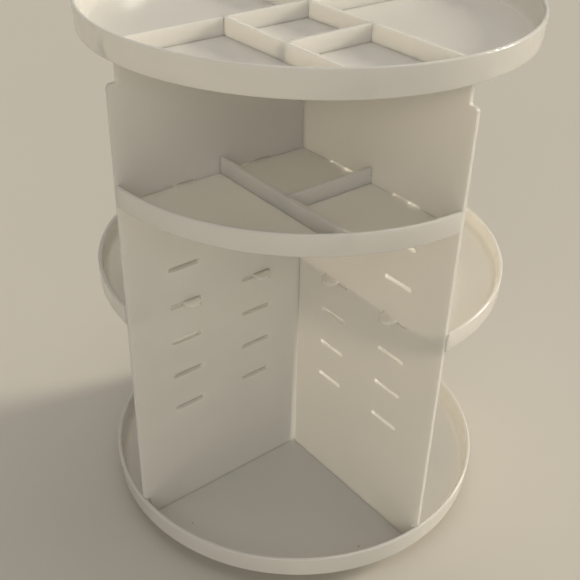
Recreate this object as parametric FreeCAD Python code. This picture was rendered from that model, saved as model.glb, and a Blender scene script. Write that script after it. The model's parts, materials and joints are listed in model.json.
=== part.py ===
import FreeCAD, Part
import math
import os

from FreeCAD import Vector

# Rotating tiered organizer: a foot with a ball bearing carries a round tray, two slotted panels that
# cross on the axis, four hang-in quarter shelves and a second round tray on top.
# All sizes are in millimetres. Z is the turning axis and the table is at Z = 0.
# The panels run along X and Y, and the front quadrant has negative X and negative Y.

# Round trays
TRAY_RADIUS = 115.0
TRAY_FLOOR = 2.4
TRAY_DEPTH = 13.7
TRAY_DRAFT = 4.0
TRAY_EDGE_RADIUS = 0.8
# The underside slopes up to the rim over this width and height
TRAY_SLOPE_WIDTH = 7.6
TRAY_SLOPE_HEIGHT = 2.8
TRAY_COVE_RADIUS = 4.0
RIM_WALL = 2.2
# Height between the floor of the lower tray and the underside of the upper one
BAY_HEIGHT = 278.0

# Crossed panels
PANEL_THICKNESS = 2.2
PANEL_SETBACK = 0.7
NECK_RIM_GAP = 1.2
UPPER_STEP = 4.9
UPPER_NECK_HEIGHT = 8.5
SEAT_FLOOR = 1.2
SEAT_CLEARANCE = 0.15
SHOULDER_CLEARANCE = 0.2
SHOULDER_OUTER_RADIUS = 2.5
SHOULDER_INNER_RADIUS = 1.0
LAP_ROOT_CLEARANCE = 0.4
LAP_MOUTH_CLEARANCE = 1.8

# Quarter shelves
SHELF_OVERHANG = 0.7
SHELF_FLOOR = 2.0
SHELF_DEPTH = 9.6
SHELF_DRAFT = 2.0
SHELF_EDGE_RADIUS = 1.0
SHELF_COVE_RADIUS = 4.5
SHELF_PANEL_GAP = 0.4
SHELF_SEAT_GAP = 0.1
TAB_WIDTH = 9.6
TAB_REACH = 6.0
TAB_SIDE_GAP = 0.2
TAB_PULL_CLEARANCE = 1.2
# Each shelf's name, its turn about Z from the front quadrant and its slot row counted from the top
SHELVES = (
    ("front_shelf", 0, 1),
    ("right_shelf", 90, 4),
    ("back_shelf", 180, 1),
    ("left_shelf", 270, 4),
)

# Shelf slots in the panels
SLOT_ROWS = 7
SLOT_PITCH = 23.15
# From the upper shoulder of a panel down to its top slot row
TOP_ROW_DROP = 59.05
INNER_SLOT_START = 23.1
OUTER_SLOT_START = 69.9
SLOT_HEADROOM = 0.9

# Divider plates, placed by their distance from the axis
DIVIDER_THICKNESS = 2.2
DIVIDER_HEIGHT = 8.6
DIVIDER_FIT = 0.06
DIVIDER_PANEL_GAP = 0.6
HOUSING_DEPTH = 0.8
TRAY_LONG_DIVIDER_OFFSET = 50.8
TRAY_SHORT_DIVIDER_OFFSET = 46.1
SHELF_LONG_DIVIDER_OFFSET = 55.0
SHELF_SHORT_DIVIDER_OFFSET = 54.0
GUIDE_LENGTH = 8.0
GUIDE_HEIGHT = 4.5
GUIDE_THICKNESS = 1.4

# Foot
BASE_RADIUS = 88.0
BASE_THICKNESS = 2.4
BASE_CLEARANCE = 1.5
BASE_LIP_WIDTH = 2.0
BASE_LIP_GAP = 1.0
PAD_COUNT = 6
PAD_RADIUS = 7.0
PAD_RECESS = 0.7
PAD_INSET = 12.0

# Ball bearing
BALL_COUNT = 12
BALL_RADIUS = 2.5
BALL_CLEARANCE = 0.15
RACE_INSET = 22.0
RACE_DEPTH = 0.6
CAGE_WIDTH = 11.0
CAGE_THICKNESS = 1.6

# Pivot
SPIGOT_RADIUS = 7.0
SPIGOT_CLEARANCE = 0.05
HUB_WALL = 5.0
HUB_TOP_GAP = 0.4
PIVOT_END_PLAY = 0.15
WASHER_RADIUS = 10.0
WASHER_THICKNESS = 1.0
WASHER_SET_IN = 0.35
WASHER_SIDE_GAP = 1.5
SCREW_RADIUS = 2.0
SCREW_HOLE_CLEARANCE = 0.02
SCREW_LENGTH = 5.0
SCREW_HEAD_RADIUS = 3.8
SCREW_HEAD_HEIGHT = 1.3
SCREW_SLOT_WIDTH = 0.9
SCREW_SLOT_DEPTH = 0.6

# Radii and lengths worked out from the sizes above
RIM_INSIDE_FOOT = TRAY_RADIUS - RIM_WALL - TRAY_DEPTH * math.tan(math.radians(TRAY_DRAFT))
PANEL_HALF_WIDTH = TRAY_RADIUS - PANEL_SETBACK
LOWER_NECK_HALF_WIDTH = RIM_INSIDE_FOOT - NECK_RIM_GAP
UPPER_NECK_HALF_WIDTH = PANEL_HALF_WIDTH - UPPER_STEP
SHELF_RADIUS = PANEL_HALF_WIDTH + SHELF_OVERHANG
LIP_RADIUS = 0.4 * RIM_WALL
SLOT_HEIGHT = SHELF_SEAT_GAP + SHELF_FLOOR + SLOT_HEADROOM
# A shelf slides out along the middle of its quarter, so its tabs also move along their slots by as much
# as they leave them; this is the room that the round end of a tab takes on the way
SLOT_PULL_ROOM = TAB_REACH + PANEL_THICKNESS - (2 - math.sqrt(2)) * TAB_WIDTH / 2 + TAB_PULL_CLEARANCE
SLOT_LENGTH = SLOT_HEIGHT + TAB_SIDE_GAP + TAB_WIDTH + SLOT_PULL_ROOM
SHELF_EDGE = PANEL_THICKNESS / 2 + SHELF_PANEL_GAP
DIVIDER_HALF = DIVIDER_THICKNESS / 2
DIVIDER_PANEL_END = PANEL_THICKNESS / 2 + DIVIDER_PANEL_GAP
PAD_CIRCLE_RADIUS = BASE_RADIUS - PAD_INSET
BALL_CIRCLE_RADIUS = BASE_RADIUS - RACE_INSET
RACE_RADIUS = BALL_RADIUS + BALL_CLEARANCE
HUB_RADIUS = SPIGOT_RADIUS + SPIGOT_CLEARANCE
SCREW_HOLE_RADIUS = SCREW_RADIUS + SCREW_HOLE_CLEARANCE

# Levels worked out from the sizes above
BASE_TOP = BASE_CLEARANCE + BASE_THICKNESS
BALL_LEVEL = BASE_TOP - RACE_DEPTH + RACE_RADIUS
TRAY_UNDERSIDE = BALL_LEVEL + RACE_RADIUS - RACE_DEPTH
TRAY_FLOOR_TOP = TRAY_UNDERSIDE + TRAY_FLOOR
TRAY_RIM_TOP = TRAY_FLOOR_TOP + TRAY_DEPTH
UPPER_UNDERSIDE = TRAY_FLOOR_TOP + BAY_HEIGHT
UPPER_FLOOR_TOP = UPPER_UNDERSIDE + TRAY_FLOOR
SEAT_DEPTH = TRAY_FLOOR - SEAT_FLOOR
PANEL_BOTTOM = TRAY_FLOOR_TOP - SEAT_DEPTH
PANEL_TOP = UPPER_UNDERSIDE + SEAT_DEPTH - SEAT_CLEARANCE
LOWER_SHOULDER = TRAY_RIM_TOP + SHOULDER_CLEARANCE
UPPER_SHOULDER = UPPER_UNDERSIDE - UPPER_NECK_HEIGHT
LAP_LEVEL = (PANEL_BOTTOM + PANEL_TOP) / 2
WASHER_BOTTOM = BASE_CLEARANCE + WASHER_SET_IN
SPIGOT_END = WASHER_BOTTOM + WASHER_THICKNESS
WASHER_RECESS_TOP = SPIGOT_END + PIVOT_END_PLAY

CENTRE = Vector(0, 0, 0)
AXIS = Vector(0, 0, 1)


def in_xz(u, v):
    return Vector(u, 0, v)


def rounded_wire(corners, place):
    """Closed wire through (u, v, radius) corners, each rounded by its own arc."""
    flat = [Vector(u, v, 0) for u, v, radius in corners]
    count = len(flat)
    starts = []
    middles = []
    ends = []
    for i, (u, v, radius) in enumerate(corners):
        here = flat[i]
        back = (flat[i - 1] - here).normalize()
        ahead = (flat[(i + 1) % count] - here).normalize()
        if radius == 0:
            starts.append(here)
            middles.append(None)
            ends.append(here)
            continue
        half_angle = back.getAngle(ahead) / 2
        reach = radius / math.tan(half_angle)
        inward = (back + ahead).normalize()
        starts.append(here + back * reach)
        middles.append(here + inward * (radius / math.sin(half_angle) - radius))
        ends.append(here + ahead * reach)
    edges = []
    for i in range(count):
        start, end, following = [place(p.x, p.y) for p in (starts[i], ends[i], starts[(i + 1) % count])]
        if middles[i] is not None:
            edges.append(Part.Arc(start, place(middles[i].x, middles[i].y), end).toShape())
        edges.append(Part.LineSegment(end, following).toShape())
    return Part.Wire(edges)


def round_ended_wire(near, far, half_width, both_ends, place):
    """Closed wire of a strip along u from near to far, round at the far end or at both ends."""
    stop = far - half_width
    begin = near + half_width if both_ends else near
    far_arc = Part.Arc(place(stop, -half_width), place(far, 0), place(stop, half_width))
    near_end = Part.LineSegment(place(begin, half_width), place(begin, -half_width))
    if both_ends:
        near_end = Part.Arc(place(begin, half_width), place(near, 0), place(begin, -half_width))
    lower = Part.LineSegment(place(begin, -half_width), place(stop, -half_width))
    upper = Part.LineSegment(place(stop, half_width), place(begin, half_width))
    return Part.Wire([curve.toShape() for curve in (lower, far_arc, upper, near_end)])


def turned(corners):
    """Solid of revolution about Z from (radius, height, rounding) corners."""
    return Part.Face(rounded_wire(corners, in_xz)).revolve(CENTRE, AXIS, 360)


def block(x_range, y_range, z_range):
    low = Vector(x_range[0], y_range[0], z_range[0])
    return Part.makeBox(x_range[1] - x_range[0], y_range[1] - y_range[0], z_range[1] - z_range[0], low)


def cross_block(length, width, z_range):
    """Two equal bars crossing on the axis."""
    long_range = (-length / 2, length / 2)
    wide_range = (-width / 2, width / 2)
    return block(long_range, wide_range, z_range).fuse(block(wide_range, long_range, z_range))


def ring_of(shape, count):
    """Equal solids spaced evenly about the axis."""
    copies = []
    for index in range(count):
        copy = shape.copy()
        copy.rotate(CENTRE, AXIS, 360 * index / count)
        copies.append(copy)
    return Part.makeCompound(copies)


def rim_and_inside(radius, draft, depth, cove_radius, floor_top):
    """Corners of a drafted rim's lip, of the coved corner inside it and of the middle of the floor."""
    slope = math.tan(math.radians(draft))
    top = floor_top + depth
    return [
        (radius, top, LIP_RADIUS),
        (radius - RIM_WALL, top, LIP_RADIUS),
        (radius - RIM_WALL - depth * slope, floor_top, cove_radius),
        (0, floor_top, 0),
    ]


def dish_inside(radius, draft, depth, cove_radius, floor_top):
    """Space inside a dish, held back from the rim by the fit of the dividers."""
    slope = math.tan(math.radians(draft))
    reach = radius - RIM_WALL - DIVIDER_FIT
    return turned([
        (0, floor_top, 0),
        (reach - depth * slope, floor_top, cove_radius + DIVIDER_FIT),
        (reach, floor_top + depth, 0),
        (0, floor_top + depth, 0),
    ])


def tray(underside):
    """Round tray whose underside slopes up to the foot of its rim."""
    floor_top = underside + TRAY_FLOOR
    rim_foot = underside + TRAY_SLOPE_HEIGHT
    rim_rise = TRAY_FLOOR + TRAY_DEPTH - TRAY_SLOPE_HEIGHT
    foot_radius = TRAY_RADIUS - rim_rise * math.tan(math.radians(TRAY_DRAFT))
    return turned([
        (0, underside, 0),
        (foot_radius - TRAY_SLOPE_WIDTH, underside, 0),
        (foot_radius, rim_foot, TRAY_EDGE_RADIUS),
    ] + rim_and_inside(TRAY_RADIUS, TRAY_DRAFT, TRAY_DEPTH, TRAY_COVE_RADIUS, floor_top))


def panel_seats(half_width, z_range):
    """Cross-shaped groove that takes the edges of both panels."""
    length = 2 * (half_width + SEAT_CLEARANCE)
    width = PANEL_THICKNESS + 2 * SEAT_CLEARANCE
    return cross_block(length, width, z_range)


def race_groove():
    return Part.makeTorus(BALL_CIRCLE_RADIUS, RACE_RADIUS, Vector(0, 0, BALL_LEVEL))


def base_disc():
    recess_radius = WASHER_RADIUS + WASHER_SIDE_GAP
    lip_inside = BASE_RADIUS - BASE_LIP_WIDTH
    lip_top = TRAY_UNDERSIDE - BASE_LIP_GAP
    hub_outside = HUB_RADIUS + HUB_WALL
    hub_top = TRAY_UNDERSIDE - HUB_TOP_GAP
    soft_edge = BASE_LIP_WIDTH / 3
    disc = turned([
        (HUB_RADIUS, WASHER_RECESS_TOP, 0),
        (recess_radius, WASHER_RECESS_TOP, 0),
        (recess_radius, BASE_CLEARANCE, 0),
        (BASE_RADIUS, BASE_CLEARANCE, soft_edge),
        (BASE_RADIUS, lip_top, soft_edge),
        (lip_inside, lip_top, soft_edge),
        (lip_inside, BASE_TOP, soft_edge),
        (hub_outside, BASE_TOP, soft_edge),
        (hub_outside, hub_top, soft_edge),
        (HUB_RADIUS, hub_top, 0),
    ])
    pad_recess = Part.makeCylinder(PAD_RADIUS, BASE_CLEARANCE + PAD_RECESS, Vector(PAD_CIRCLE_RADIUS, 0, 0))
    return disc.cut(race_groove()).cut(ring_of(pad_recess, PAD_COUNT))


def foot_pads():
    pad = turned([
        (0, 0, 0),
        (PAD_RADIUS, 0, PAD_RECESS / 2),
        (PAD_RADIUS, BASE_CLEARANCE + PAD_RECESS, 0),
        (0, BASE_CLEARANCE + PAD_RECESS, 0),
    ])
    pad.translate(Vector(PAD_CIRCLE_RADIUS, 0, 0))
    return ring_of(pad, PAD_COUNT)


def bearing_balls():
    return ring_of(Part.makeSphere(BALL_RADIUS, Vector(BALL_CIRCLE_RADIUS, 0, BALL_LEVEL)), BALL_COUNT)


def ball_cage():
    low = BALL_LEVEL - CAGE_THICKNESS / 2
    inner = BALL_CIRCLE_RADIUS - CAGE_WIDTH / 2
    outer = BALL_CIRCLE_RADIUS + CAGE_WIDTH / 2
    soft_edge = CAGE_THICKNESS / 4
    ring = turned([
        (inner, low, soft_edge),
        (outer, low, soft_edge),
        (outer, low + CAGE_THICKNESS, soft_edge),
        (inner, low + CAGE_THICKNESS, soft_edge),
    ])
    pocket = Part.makeCylinder(RACE_RADIUS, CAGE_THICKNESS, Vector(BALL_CIRCLE_RADIUS, 0, low))
    return ring.cut(ring_of(pocket, BALL_COUNT))


def pivot_washer():
    start = Vector(0, 0, WASHER_BOTTOM)
    disc = Part.makeCylinder(WASHER_RADIUS, WASHER_THICKNESS, start)
    return disc.cut(Part.makeCylinder(SCREW_HOLE_RADIUS, WASHER_THICKNESS, start))


def pivot_screw():
    """Pan-head screw with a cross recess, driven up into the spigot."""
    head_bottom = WASHER_BOTTOM - SCREW_HEAD_HEIGHT
    tip = SPIGOT_END + SCREW_LENGTH
    screw = turned([
        (0, head_bottom, 0),
        (SCREW_HEAD_RADIUS, head_bottom, SCREW_HEAD_HEIGHT / 2),
        (SCREW_HEAD_RADIUS, WASHER_BOTTOM, 0),
        (SCREW_RADIUS, WASHER_BOTTOM, 0),
        (SCREW_RADIUS, tip, SCREW_RADIUS / 3),
        (0, tip, 0),
    ])
    recess_range = (head_bottom, head_bottom + SCREW_SLOT_DEPTH)
    return screw.cut(cross_block(SCREW_HEAD_RADIUS, SCREW_SLOT_WIDTH, recess_range))


def bottom_tray():
    start = Vector(0, 0, SPIGOT_END)
    spigot = Part.makeCylinder(SPIGOT_RADIUS, TRAY_UNDERSIDE - SPIGOT_END, start)
    pilot = Part.makeCylinder(SCREW_HOLE_RADIUS, SCREW_LENGTH + SCREW_HOLE_CLEARANCE, start)
    seats = panel_seats(LOWER_NECK_HALF_WIDTH, (PANEL_BOTTOM, TRAY_RIM_TOP))
    whole = tray(TRAY_UNDERSIDE).fuse(spigot).removeSplitter()
    return whole.cut(race_groove()).cut(pilot).cut(seats)


def row_level(row):
    """Height of the middle of a slot row, where row 1 is the top one."""
    return UPPER_SHOULDER - TOP_ROW_DROP - (row - 1) * SLOT_PITCH


def slot_wire(start, level, side):
    """Round-ended shelf slot on one half of a panel."""
    def at(u, v):
        return in_xz(side * u, level + v)

    return round_ended_wire(start, start + SLOT_LENGTH, SLOT_HEIGHT / 2, True, at)


def slotted_panel():
    """Panel in the XZ plane with all its shelf slots, before the lap slit is cut."""
    right_side = [
        (LOWER_NECK_HALF_WIDTH, PANEL_BOTTOM, SHOULDER_INNER_RADIUS),
        (LOWER_NECK_HALF_WIDTH, LOWER_SHOULDER, SHOULDER_INNER_RADIUS),
        (PANEL_HALF_WIDTH, LOWER_SHOULDER, SHOULDER_OUTER_RADIUS),
        (PANEL_HALF_WIDTH, UPPER_SHOULDER, SHOULDER_OUTER_RADIUS),
        (UPPER_NECK_HALF_WIDTH, UPPER_SHOULDER, SHOULDER_INNER_RADIUS),
        (UPPER_NECK_HALF_WIDTH, PANEL_TOP, SHOULDER_INNER_RADIUS),
    ]
    left_side = [(-u, v, radius) for u, v, radius in reversed(right_side)]
    wires = [rounded_wire(right_side + left_side, in_xz)]
    for row in range(1, SLOT_ROWS + 1):
        for start in (INNER_SLOT_START, OUTER_SLOT_START):
            for side in (-1, 1):
                wires.append(slot_wire(start, row_level(row), side))
    face = Part.makeFace(wires, "Part::FaceMakerBullseye")
    face.translate(Vector(0, -PANEL_THICKNESS / 2, 0))
    return face.extrude(Vector(0, PANEL_THICKNESS, 0))


def lap_slit(mouth_level):
    """Tapered slit on the axis that lets one panel straddle the other from the lap to its edge."""
    root = PANEL_THICKNESS / 2 + LAP_ROOT_CLEARANCE
    mouth = PANEL_THICKNESS / 2 + LAP_MOUTH_CLEARANCE
    face = Part.Face(rounded_wire([
        (-root, LAP_LEVEL, 0),
        (root, LAP_LEVEL, 0),
        (mouth, mouth_level, 0),
        (-mouth, mouth_level, 0),
    ], in_xz))
    face.translate(Vector(0, -PANEL_THICKNESS, 0))
    return face.extrude(Vector(0, 2 * PANEL_THICKNESS, 0))


def partition_panel_x():
    return slotted_panel().cut(lap_slit(PANEL_TOP))


def partition_panel_y():
    panel = slotted_panel().cut(lap_slit(PANEL_BOTTOM))
    panel.rotate(CENTRE, AXIS, 90)
    return panel


def shelf_bottom(row):
    return row_level(row) - SLOT_HEIGHT / 2 + SHELF_SEAT_GAP


def shelf_tab(slot_start, bottom):
    """Round-ended tab from the shelf through a slot of the panel that runs along X."""
    middle = slot_start + SLOT_HEIGHT / 2 + TAB_SIDE_GAP + TAB_WIDTH / 2

    def at(u, v):
        return Vector(v - middle, u, bottom)

    root = -SHELF_EDGE - TAB_REACH
    tip = PANEL_THICKNESS / 2 + TAB_REACH
    wire = round_ended_wire(root, tip, TAB_WIDTH / 2, False, at)
    return Part.Face(wire).extrude(Vector(0, 0, SHELF_FLOOR))


def quarter_shelf(turn, row):
    """Front-quadrant shelf with two tabs to each panel, turned into its own quadrant."""
    bottom = shelf_bottom(row)
    floor_top = bottom + SHELF_FLOOR
    foot_radius = SHELF_RADIUS - (SHELF_FLOOR + SHELF_DEPTH) * math.tan(math.radians(SHELF_DRAFT))
    whole = turned([
        (0, bottom, 0),
        (foot_radius, bottom, SHELF_EDGE_RADIUS),
    ] + rim_and_inside(SHELF_RADIUS, SHELF_DRAFT, SHELF_DEPTH, SHELF_COVE_RADIUS, floor_top))
    reach = (-SHELF_EDGE - SHELF_RADIUS, -SHELF_EDGE)
    shelf = whole.common(block(reach, reach, (bottom, floor_top + SHELF_DEPTH)))
    for start in (INNER_SLOT_START, OUTER_SLOT_START):
        tab = shelf_tab(start, bottom)
        shelf = shelf.fuse([tab, tab.mirror(CENTRE, Vector(1, -1, 0))])
    shelf = shelf.removeSplitter()
    shelf.rotate(CENTRE, AXIS, turn)
    return shelf


def divider(along, offset, span, bottom, laps=(), housing=None):
    """Upright plate along x or y, with half-lap notches given as (place, from_top).

    The housing is the place of a groove in the plate's inner face that takes the end of another plate.
    """
    middle = bottom + DIVIDER_HEIGHT / 2
    top = bottom + DIVIDER_HEIGHT

    def bar(run, side, z_range):
        across = (offset + side[0], offset + side[1])
        return block(run, across, z_range) if along == "x" else block(across, run, z_range)

    def notch(place, side, z_range):
        half = DIVIDER_HALF + DIVIDER_FIT
        return bar((place - half, place + half), side, z_range)

    plate = bar(span, (-DIVIDER_HALF, DIVIDER_HALF), (bottom, top))
    for place, from_top in laps:
        z_range = (middle, top) if from_top else (bottom, middle + DIVIDER_FIT)
        plate = plate.cut(notch(place, (-DIVIDER_THICKNESS, DIVIDER_THICKNESS), z_range))
    if housing is not None:
        plate = plate.cut(notch(housing, (DIVIDER_HALF - HOUSING_DEPTH, DIVIDER_THICKNESS), (bottom, top)))
    return plate


def housed_end(offset):
    """End of a plate that sits in the housing of the plate at this distance from the axis."""
    return -offset + DIVIDER_HALF - HOUSING_DEPTH + DIVIDER_FIT


def upper_tray_inside():
    return dish_inside(TRAY_RADIUS, TRAY_DRAFT, TRAY_DEPTH, TRAY_COVE_RADIUS, UPPER_FLOOR_TOP)


def wall_guide():
    """Pair of ribs inside the rim of the upper tray that hold one end of a cross wall."""
    inner = DIVIDER_HALF + DIVIDER_FIT
    outer = inner + GUIDE_THICKNESS
    run = (-RIM_INSIDE_FOOT - RIM_WALL / 2, GUIDE_LENGTH - RIM_INSIDE_FOOT)
    z_range = (UPPER_FLOOR_TOP, UPPER_FLOOR_TOP + GUIDE_HEIGHT)
    return [block(run, (inner, outer), z_range), block(run, (-outer, -inner), z_range)]


def top_tray():
    whole = tray(UPPER_UNDERSIDE)
    for quarter in range(4):
        ribs = wall_guide()
        for rib in ribs:
            rib.rotate(CENTRE, AXIS, 90 * quarter)
        whole = whole.fuse(ribs)
    seats = panel_seats(UPPER_NECK_HALF_WIDTH, (UPPER_UNDERSIDE, UPPER_UNDERSIDE + SEAT_DEPTH))
    return whole.removeSplitter().cut(seats)


def tray_cross_wall_x():
    span = (-TRAY_RADIUS, TRAY_RADIUS)
    laps = [(0, True), (-TRAY_LONG_DIVIDER_OFFSET, True)]
    return divider("x", 0, span, UPPER_FLOOR_TOP, laps).common(upper_tray_inside())


def tray_cross_wall_y():
    span = (-TRAY_RADIUS, TRAY_RADIUS)
    laps = [(0, False), (-TRAY_SHORT_DIVIDER_OFFSET, True)]
    return divider("y", 0, span, UPPER_FLOOR_TOP, laps).common(upper_tray_inside())


def tray_divider_long():
    span = (-TRAY_RADIUS, DIVIDER_HALF)
    plate = divider("y", -TRAY_LONG_DIVIDER_OFFSET, span, UPPER_FLOOR_TOP,
                    [(0, False)], -TRAY_SHORT_DIVIDER_OFFSET)
    return plate.common(upper_tray_inside())


def tray_divider_short():
    span = (housed_end(TRAY_LONG_DIVIDER_OFFSET), DIVIDER_HALF)
    return divider("x", -TRAY_SHORT_DIVIDER_OFFSET, span, UPPER_FLOOR_TOP, [(0, False)])


def front_shelf_floor_top():
    return shelf_bottom(SHELVES[0][2]) + SHELF_FLOOR


def shelf_divider_long():
    floor_top = front_shelf_floor_top()
    span = (-SHELF_RADIUS, -DIVIDER_PANEL_END)
    plate = divider("y", -SHELF_LONG_DIVIDER_OFFSET, span, floor_top, housing=-SHELF_SHORT_DIVIDER_OFFSET)
    return plate.common(dish_inside(SHELF_RADIUS, SHELF_DRAFT, SHELF_DEPTH, SHELF_COVE_RADIUS, floor_top))


def shelf_divider_short():
    span = (housed_end(SHELF_LONG_DIVIDER_OFFSET), -DIVIDER_PANEL_END)
    return divider("x", -SHELF_SHORT_DIVIDER_OFFSET, span, front_shelf_floor_top())


def all_nodes():
    nodes = {
        "base_disc": base_disc(),
        "foot_pads": foot_pads(),
        "bearing_balls": bearing_balls(),
        "ball_cage": ball_cage(),
        "pivot_washer": pivot_washer(),
        "pivot_screw": pivot_screw(),
        "bottom_tray": bottom_tray(),
        "partition_panel_x": partition_panel_x(),
        "partition_panel_y": partition_panel_y(),
        "top_tray": top_tray(),
        "tray_cross_wall_x": tray_cross_wall_x(),
        "tray_cross_wall_y": tray_cross_wall_y(),
        "tray_divider_long": tray_divider_long(),
        "tray_divider_short": tray_divider_short(),
        "shelf_divider_long": shelf_divider_long(),
        "shelf_divider_short": shelf_divider_short(),
    }
    for name, turn, row in SHELVES:
        nodes[name] = quarter_shelf(turn, row)
    return nodes


def main():
    os.makedirs("parts", exist_ok=True)
    for name, shape in all_nodes().items():
        print(name, len(shape.Solids), "solids, valid", shape.isValid(), round(shape.Volume), "mm3")
        shape.exportStep("parts/" + name + ".step")


main()
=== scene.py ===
import json
import math

import bpy
from mathutils import Matrix, Vector

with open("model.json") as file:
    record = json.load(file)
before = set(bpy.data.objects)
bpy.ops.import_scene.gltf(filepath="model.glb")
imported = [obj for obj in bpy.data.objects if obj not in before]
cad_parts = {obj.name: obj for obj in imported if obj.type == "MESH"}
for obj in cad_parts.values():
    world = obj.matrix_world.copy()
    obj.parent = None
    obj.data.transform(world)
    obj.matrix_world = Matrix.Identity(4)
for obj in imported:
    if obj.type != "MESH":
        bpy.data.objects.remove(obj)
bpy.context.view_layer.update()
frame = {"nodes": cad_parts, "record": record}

# Lengths are in metres, angles in degrees and colours linear, unless a name says otherwise.

# Photograph's camera, worked out from its vanishing lines and tray outlines
CAMERA_PLACE = (-0.2885, -0.3429, 0.4201)
CAMERA_HEADING = -39.40
CAMERA_PITCH = -33.11
CAMERA_ROLL = 1.65
CAMERA_NEAREST = 0.01
FOCAL_PIXELS = 894.2
IMAGE_PIXELS = 580
SENSOR_MILLIMETRES = 36.0

# Surfaces
WHITE_PLASTIC = (0.80, 0.78, 0.735)
FOOT_PLASTIC = (0.74, 0.72, 0.68)
RUBBER_GREY = (0.055, 0.055, 0.058)
STEEL_GREY = (0.58, 0.58, 0.59)
PLASTIC_IOR = 1.49
# How far light spreads inside the white plastic, and the share of that for red, green and blue
GLOW_DISTANCE = 0.0055
GLOW_SHARES = (1.0, 0.95, 0.85)
# Spans of a noise's values that clouding and handling marks use
CLOUD_SPAN = (0.3, 0.7)
MARK_SPAN = (0.35, 0.7)
BEVEL_SAMPLES = 6

# Dust on the white plastic: most cells are empty, and the others hold one speck with a soft edge
DUST_BROWN = (0.16, 0.13, 0.10)
DUST_CELLS_PER_METRE = 75.0
DUST_EMPTY_SHARE = 0.80
DUST_EDGE_IN_CELLS = (0.03, 0.05)
DUST_COVER = 0.6
# Dust lies where the upright part of a face's normal is more than this
DUST_UPRIGHT = 0.9

# Studio
FLOOR_HALF_WIDTH = 30.0
FLOOR_CREAM = (0.78, 0.74, 0.66)
BACKDROP_CREAM = (0.52, 0.48, 0.40)
ROOM_LIGHT = (1.0, 0.97, 0.92)
ROOM_STRENGTH = 0.18
STAND_MIDDLE = Vector((0.0, 0.0, 0.15))
# Each lamp's name, its place, how wide it looks, its strength and its colour
LAMPS = (
    ("window_side", (1.20, -0.41, 0.58), 15.0, 2.1, (1.0, 0.92, 0.78)),
    ("ceiling", (0.30, 0.10, 1.50), 60.0, 0.64, (1.0, 0.96, 0.90)),
    ("front", (-0.78, -0.98, 0.81), 50.0, 0.48, (1.0, 0.97, 0.91)),
)


class Graph:
    """Small helper that adds and links the nodes of one material."""

    def __init__(self, name):
        self.material = bpy.data.materials.new(name)
        self.material.use_nodes = True
        self.tree = self.material.node_tree
        self.shader = self.tree.nodes["Principled BSDF"]
        self.place = self.add("ShaderNodeTexCoord").outputs["Object"]

    def add(self, kind, **settings):
        node = self.tree.nodes.new(kind)
        for key, value in settings.items():
            setattr(node, key, value)
        return node

    def link(self, source, target):
        self.tree.links.new(source, target)

    def noise(self, scale, detail):
        node = self.add("ShaderNodeTexNoise")
        node.inputs["Scale"].default_value = scale
        node.inputs["Detail"].default_value = detail
        self.link(self.place, node.inputs["Vector"])
        return node.outputs["Fac"]

    def remap(self, value, span, new_span):
        node = self.add("ShaderNodeMapRange")
        for name, number in zip(("From Min", "From Max", "To Min", "To Max"), (*span, *new_span)):
            node.inputs[name].default_value = number
        self.link(value, node.inputs["Value"])
        return node.outputs["Result"]

    def math(self, operation, first, second):
        node = self.add("ShaderNodeMath", operation=operation)
        for socket, value in zip(node.inputs, (first, second)):
            if isinstance(value, float):
                socket.default_value = value
            else:
                self.link(value, socket)
        return node.outputs["Value"]

    def mix(self, factor, first, second):
        node = self.add("ShaderNodeMix", data_type="RGBA")
        self.link(factor, node.inputs["Factor"])
        for name, colour in (("A", first), ("B", second)):
            socket = [s for s in node.inputs if s.name == name and s.type == "RGBA"][0]
            if isinstance(colour, tuple):
                socket.default_value = (*colour, 1.0)
            else:
                self.link(colour, socket)
        return [s for s in node.outputs if s.type == "RGBA"][0]

    def clouds(self, first, second, scale, detail):
        """Soft clouding between two colours."""
        factor = self.remap(self.noise(scale, detail), CLOUD_SPAN, (0.0, 1.0))
        return self.mix(factor, first, second)

    def colour(self, value):
        self.link(value, self.shader.inputs["Base Color"])

    def roughness(self, span, scale, detail, noise_span=CLOUD_SPAN):
        """Roughness that wanders over this span."""
        value = self.remap(self.noise(scale, detail), noise_span, span)
        self.link(value, self.shader.inputs["Roughness"])

    def bump(self, height, strength, distance, edge_radius):
        """Surface relief, over edges that catch the light as if they had this radius."""
        soft = self.add("ShaderNodeBevel", samples=BEVEL_SAMPLES)
        soft.inputs["Radius"].default_value = edge_radius
        node = self.add("ShaderNodeBump")
        node.inputs["Strength"].default_value = strength
        node.inputs["Distance"].default_value = distance
        self.link(height, node.inputs["Height"])
        self.link(soft.outputs["Normal"], node.inputs["Normal"])
        self.link(node.outputs["Normal"], self.shader.inputs["Normal"])

    def fix(self, **values):
        """Set the shader's own sockets, named with underscores for spaces."""
        for name, value in values.items():
            self.shader.inputs[name.replace("_", " ")].default_value = value


def scaled(colour, factor):
    return tuple(part * factor for part in colour)


def dust_specks(graph):
    """Sparse specks, only on faces that look up."""
    cells = graph.add("ShaderNodeTexVoronoi")
    cells.inputs["Scale"].default_value = DUST_CELLS_PER_METRE
    graph.link(graph.place, cells.inputs["Vector"])
    parts = graph.add("ShaderNodeSeparateColor")
    graph.link(cells.outputs["Color"], parts.inputs["Color"])
    near = graph.remap(cells.outputs["Distance"], DUST_EDGE_IN_CELLS, (1.0, 0.0))
    chosen = graph.math("GREATER_THAN", parts.outputs["Red"], DUST_EMPTY_SHARE)
    normal = graph.add("ShaderNodeSeparateXYZ")
    graph.link(graph.add("ShaderNodeNewGeometry").outputs["Normal"], normal.inputs["Vector"])
    upward = graph.math("GREATER_THAN", normal.outputs["Z"], DUST_UPRIGHT)
    specks = graph.math("MULTIPLY", near, chosen)
    return graph.math("MULTIPLY", specks, graph.math("MULTIPLY", upward, DUST_COVER))


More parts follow.
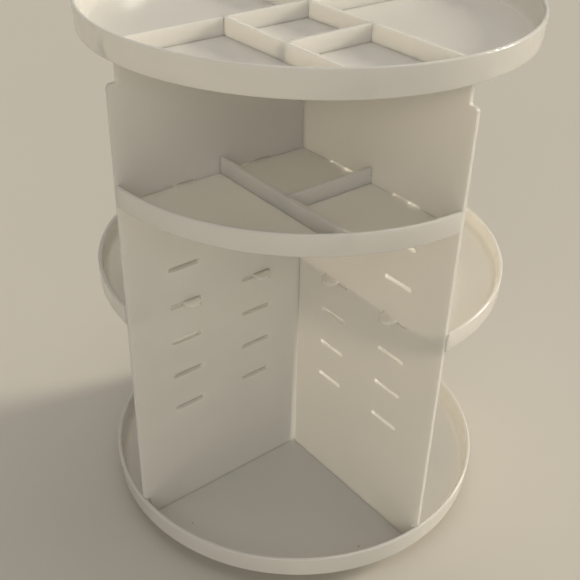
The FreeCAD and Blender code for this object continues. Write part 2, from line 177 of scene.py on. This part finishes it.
def white_plastic(name, roughness, glow):
    """White moulded plastic with faint clouding, handling marks in the gloss and a light orange peel.

    The glow is the share of the light that spreads inside, so that some comes through a thin plate.
    """
    graph = Graph(name)
    darker = scaled(WHITE_PLASTIC, 0.985)
    lighter = scaled(WHITE_PLASTIC, 1.01)
    body = graph.clouds(darker, lighter, scale=14.0, detail=2.0)
    graph.colour(graph.mix(dust_specks(graph), body, DUST_BROWN))
    graph.roughness(roughness, scale=60.0, detail=3.0, noise_span=MARK_SPAN)
    peel = graph.noise(scale=160.0, detail=1.0)
    graph.bump(peel, strength=0.03, distance=0.0003, edge_radius=0.0006)
    graph.shader.subsurface_method = "BURLEY"
    graph.fix(IOR=PLASTIC_IOR, Subsurface_Weight=glow)
    graph.fix(Subsurface_Scale=GLOW_DISTANCE, Subsurface_Radius=GLOW_SHARES)
    return graph.material


def matte_plastic(name):
    graph = Graph(name)
    graph.colour(graph.clouds(scaled(FOOT_PLASTIC, 0.95), FOOT_PLASTIC, scale=35.0, detail=3.0))
    graph.roughness((0.45, 0.60), scale=90.0, detail=3.0)
    grain = graph.noise(scale=1600.0, detail=2.0)
    graph.bump(grain, strength=0.15, distance=0.0003, edge_radius=0.0003)
    graph.fix(IOR=PLASTIC_IOR)
    return graph.material


def rubber(name):
    graph = Graph(name)
    darker = scaled(RUBBER_GREY, 0.8)
    lighter = scaled(RUBBER_GREY, 1.3)
    graph.colour(graph.clouds(darker, lighter, scale=160.0, detail=3.0))
    graph.roughness((0.72, 0.9), scale=300.0, detail=2.0)
    grain = graph.noise(scale=2500.0, detail=2.0)
    graph.bump(grain, strength=0.3, distance=0.0002, edge_radius=0.0003)
    return graph.material


def steel(name):
    graph = Graph(name)
    graph.colour(graph.clouds(scaled(STEEL_GREY, 0.85), STEEL_GREY, scale=400.0, detail=3.0))
    graph.roughness((0.18, 0.32), scale=900.0, detail=2.0)
    grain = graph.noise(scale=3000.0, detail=1.0)
    graph.bump(grain, strength=0.1, distance=0.0001, edge_radius=0.0002)
    graph.fix(Metallic=1.0)
    return graph.material


def dress_nodes():
    by_slot = {
        "tray_plastic": white_plastic("tray_plastic_skin", roughness=(0.16, 0.22), glow=0.5),
        "panel_plastic": white_plastic("panel_plastic_skin", roughness=(0.28, 0.34), glow=0.6),
        "shelf_plastic": white_plastic("shelf_plastic_skin", roughness=(0.16, 0.22), glow=1.0),
        "divider_plastic": white_plastic("divider_plastic_skin", roughness=(0.18, 0.24), glow=1.0),
        "foot_plastic": matte_plastic("foot_plastic_skin"),
        "pad_rubber": rubber("pad_rubber_skin"),
        "steel": steel("steel_skin"),
    }
    slots = {part["node"]: part["material_slot"] for part in frame["record"]["subparts"]}
    for node, piece in frame["nodes"].items():
        for holder in piece.material_slots:
            holder.material = by_slot[slots[node]]


def add_floor():
    half = FLOOR_HALF_WIDTH
    mesh = bpy.data.meshes.new("floor")
    corners = [(-half, -half, 0), (half, -half, 0), (half, half, 0), (-half, half, 0)]
    mesh.from_pydata(corners, [], [(0, 1, 2, 3)])
    floor = bpy.data.objects.new("floor", mesh)
    bpy.context.scene.collection.objects.link(floor)
    graph = Graph("floor_skin")
    graph.colour(graph.clouds(scaled(FLOOR_CREAM, 0.985), FLOOR_CREAM, scale=3.0, detail=3.0))
    graph.fix(Roughness=0.9, Specular_IOR_Level=0.2)
    mesh.materials.append(graph.material)


def add_lamp(name, place, spread, strength, colour):
    """Even light from far away, from where this place lies as seen from the middle of the stand."""
    lamp = bpy.data.lights.new(name, "SUN")
    lamp.angle = math.radians(spread)
    lamp.energy = strength
    lamp.color = colour
    holder = bpy.data.objects.new(name, lamp)
    holder.location = place
    holder.rotation_euler = (STAND_MIDDLE - Vector(place)).to_track_quat("-Z", "Y").to_euler()
    bpy.context.scene.collection.objects.link(holder)


def add_room():
    """Dim light from all around, and a pale backdrop for the camera and for reflections."""
    world = bpy.data.worlds.new("room")
    world.use_nodes = True
    nodes = world.node_tree.nodes
    links = world.node_tree.links
    fill = nodes["Background"]
    fill.inputs["Color"].default_value = (*ROOM_LIGHT, 1.0)
    fill.inputs["Strength"].default_value = ROOM_STRENGTH
    backdrop = nodes.new("ShaderNodeBackground")
    backdrop.inputs["Color"].default_value = (*BACKDROP_CREAM, 1.0)
    rays = nodes.new("ShaderNodeLightPath")
    seen = rays.outputs["Is Camera Ray"]
    for kind in ("Is Glossy Ray", "Is Transmission Ray"):
        either = nodes.new("ShaderNodeMath")
        either.operation = "MAXIMUM"
        links.new(seen, either.inputs[0])
        links.new(rays.outputs[kind], either.inputs[1])
        seen = either.outputs["Value"]
    choice = nodes.new("ShaderNodeMixShader")
    links.new(seen, choice.inputs["Fac"])
    links.new(fill.outputs["Background"], choice.inputs[1])
    links.new(backdrop.outputs["Background"], choice.inputs[2])
    links.new(choice.outputs["Shader"], nodes["World Output"].inputs["Surface"])
    bpy.context.scene.world = world


def add_camera():
    heading = math.radians(CAMERA_HEADING)
    pitch = math.radians(CAMERA_PITCH)
    roll = math.radians(CAMERA_ROLL)
    flat = Vector((-math.sin(heading), math.cos(heading), 0.0))
    ahead = flat * math.cos(pitch) + Vector((0.0, 0.0, math.sin(pitch)))
    level = ahead.cross(Vector((0, 0, 1))).normalized()
    above = level.cross(ahead)
    right = level * math.cos(roll) + above * math.sin(roll)
    up = above * math.cos(roll) - level * math.sin(roll)
    turn = Matrix((right, up, -ahead)).transposed().to_4x4()
    lens = bpy.data.cameras.new("camera")
    lens.sensor_width = SENSOR_MILLIMETRES
    lens.lens = SENSOR_MILLIMETRES * FOCAL_PIXELS / IMAGE_PIXELS
    lens.clip_start = CAMERA_NEAREST
    camera = bpy.data.objects.new("camera", lens)
    camera.matrix_world = Matrix.Translation(CAMERA_PLACE) @ turn
    bpy.context.scene.collection.objects.link(camera)
    bpy.context.scene.camera = camera


dress_nodes()
add_floor()
for lamp_values in LAMPS:
    add_lamp(*lamp_values)
add_room()
add_camera()
bpy.context.scene.view_settings.view_transform = "Standard"
